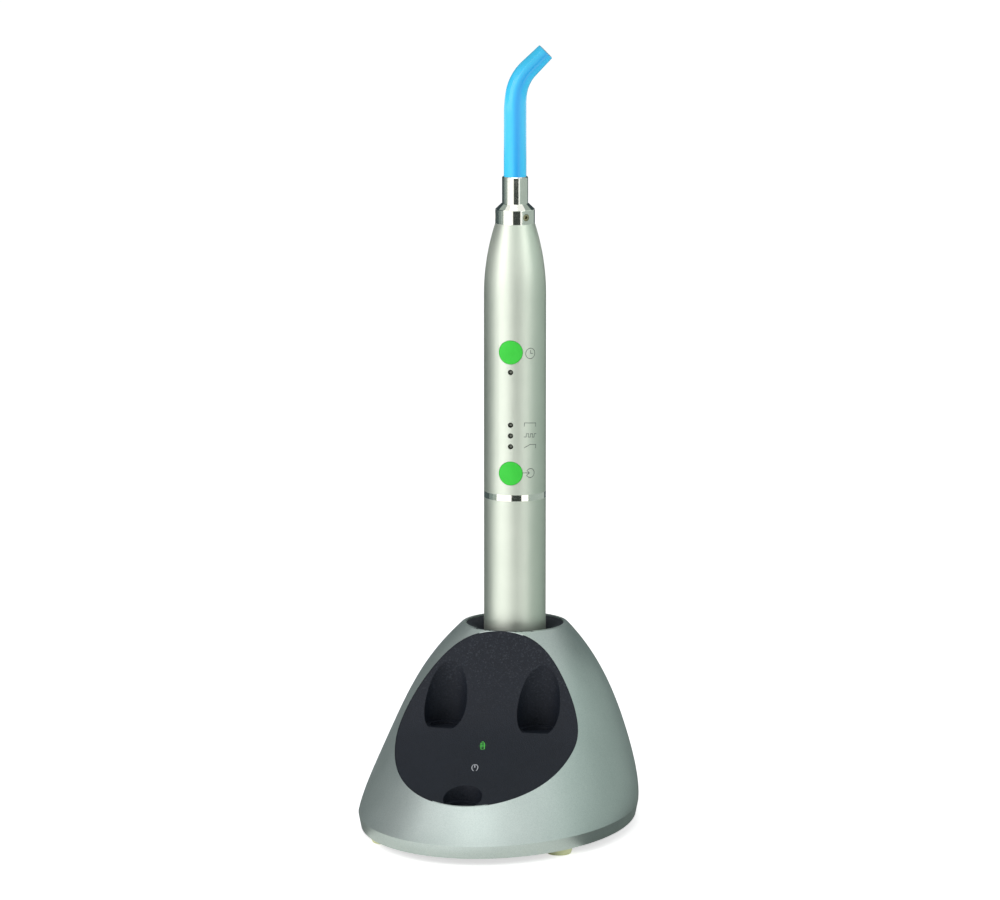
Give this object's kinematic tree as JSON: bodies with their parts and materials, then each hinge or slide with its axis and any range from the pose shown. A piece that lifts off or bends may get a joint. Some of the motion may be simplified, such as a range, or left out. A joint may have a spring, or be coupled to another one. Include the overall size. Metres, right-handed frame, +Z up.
{
  "type": "dental curing light",
  "caption": "Cordless dental curing light: slim handpiece with a bent blue light guide and green push buttons, standing in a silver charging base with storage pockets for spare guides.",
  "frame": {"origin": "on the floor, under the middle of the charging base's outline", "axes": "+Z up along the handpiece, -Y is the front with the sloping panel, +X is the right-hand side seen from the front"},
  "size_m": [0.0964, 0.133, 0.2747],
  "materials": {
    "silver_paint": "satin metallic paint over plastic",
    "panel_plastic": "fine spark texture",
    "plate_plastic": "matte moulding",
    "foot_rubber": "soft pale rubber",
    "screw_steel": "zinc plated",
    "ballast_steel": "plain steel slab",
    "board_laminate": "solder mask",
    "black_plastic": "moulded",
    "gold_contact": "gold plated",
    "green_light": "clear light pipe, lit green",
    "grey_light": "clear light pipe, unlit",
    "handpiece_aluminium": "satin anodised",
    "cell_wrap": "shrink wrapped metal can",
    "polished_nickel": "polished",
    "button_green": "satin",
    "dark_lens": "smoked lens",
    "heat_sink_aluminium": "turned",
    "lens_glass": "clear",
    "black_rubber": "seal",
    "guide_glass": "blue fused fibre rod"
  },
  "bodies": {
    "base": {"base_shell": "silver_paint", "front_panel": "panel_plastic", "charge_indicator": "green_light", "status_indicator": "grey_light", "lamp_board": "board_laminate", "rim_bezel": "panel_plastic", "cradle_well": "panel_plastic", "floor_plate": "plate_plastic", "rubber_feet": "foot_rubber", "base_screws": "screw_steel", "cradle_screws": "screw_steel", "ballast_screws": "screw_steel", "ballast_weight": "ballast_steel", "charger_board": "board_laminate", "dc_inlet": "black_plastic", "contact_block": "black_plastic"},
    "contact_pins": {"charge_pins": "gold_contact"},
    "battery_pack": {"end_cap": "black_plastic", "charge_contacts": "gold_contact", "battery_tube": "handpiece_aluminium", "cell_contact": "gold_contact", "battery_cell": "cell_wrap", "battery_plug": "black_plastic", "chrome_ring": "polished_nickel"},
    "handpiece": {"front_housing": "handpiece_aluminium", "indicator_lenses": "dark_lens", "control_board": "board_laminate", "tact_switches": "black_plastic", "battery_socket": "black_plastic", "heat_sink": "heat_sink_aluminium", "led_module": "board_laminate", "condenser_lens": "lens_glass", "lens_holder": "heat_sink_aluminium", "nose_collar": "polished_nickel", "grub_screws": "screw_steel", "o_ring": "black_rubber"},
    "upper_button": {"upper_button": "button_green"},
    "lower_button": {"lower_button": "button_green"},
    "guide_sleeve": {"guide_ferrule": "polished_nickel"},
    "guide_rod": {"light_guide": "guide_glass"}
  },
  "joints": [
    {"name": "handpiece_lift", "type": "slide", "parent": "base", "child": "battery_pack", "axis": [0, 0, 1], "range_m": [0, 0.12]},
    {"name": "battery_release", "type": "slide", "parent": "battery_pack", "child": "handpiece", "axis": [0, 0, 1], "range_m": [0, 0.03]},
    {"name": "upper_press", "type": "slide", "parent": "handpiece", "child": "upper_button", "axis": [-0.1149, 0.9934, 0], "range_m": [0, 0.0006], "stiffness_N_per_m": 2500},
    {"name": "lower_press", "type": "slide", "parent": "handpiece", "child": "lower_button", "axis": [-0.1149, 0.9934, 0], "range_m": [0, 0.0006], "stiffness_N_per_m": 2500},
    {"name": "guide_pull", "type": "slide", "parent": "handpiece", "child": "guide_sleeve", "axis": [0, 0, 1], "range_m": [0, 0.025]},
    {"name": "guide_turn", "type": "hinge", "parent": "guide_sleeve", "child": "guide_rod", "pos_m": [0, 0.0216, 0.24], "axis": [0, 0, 1], "continuous": true},
    {"name": "pin_press", "type": "slide", "parent": "base", "child": "contact_pins", "axis": [0, 0, -1], "range_m": [0, 0.0008], "stiffness_N_per_m": 600}
  ]
}
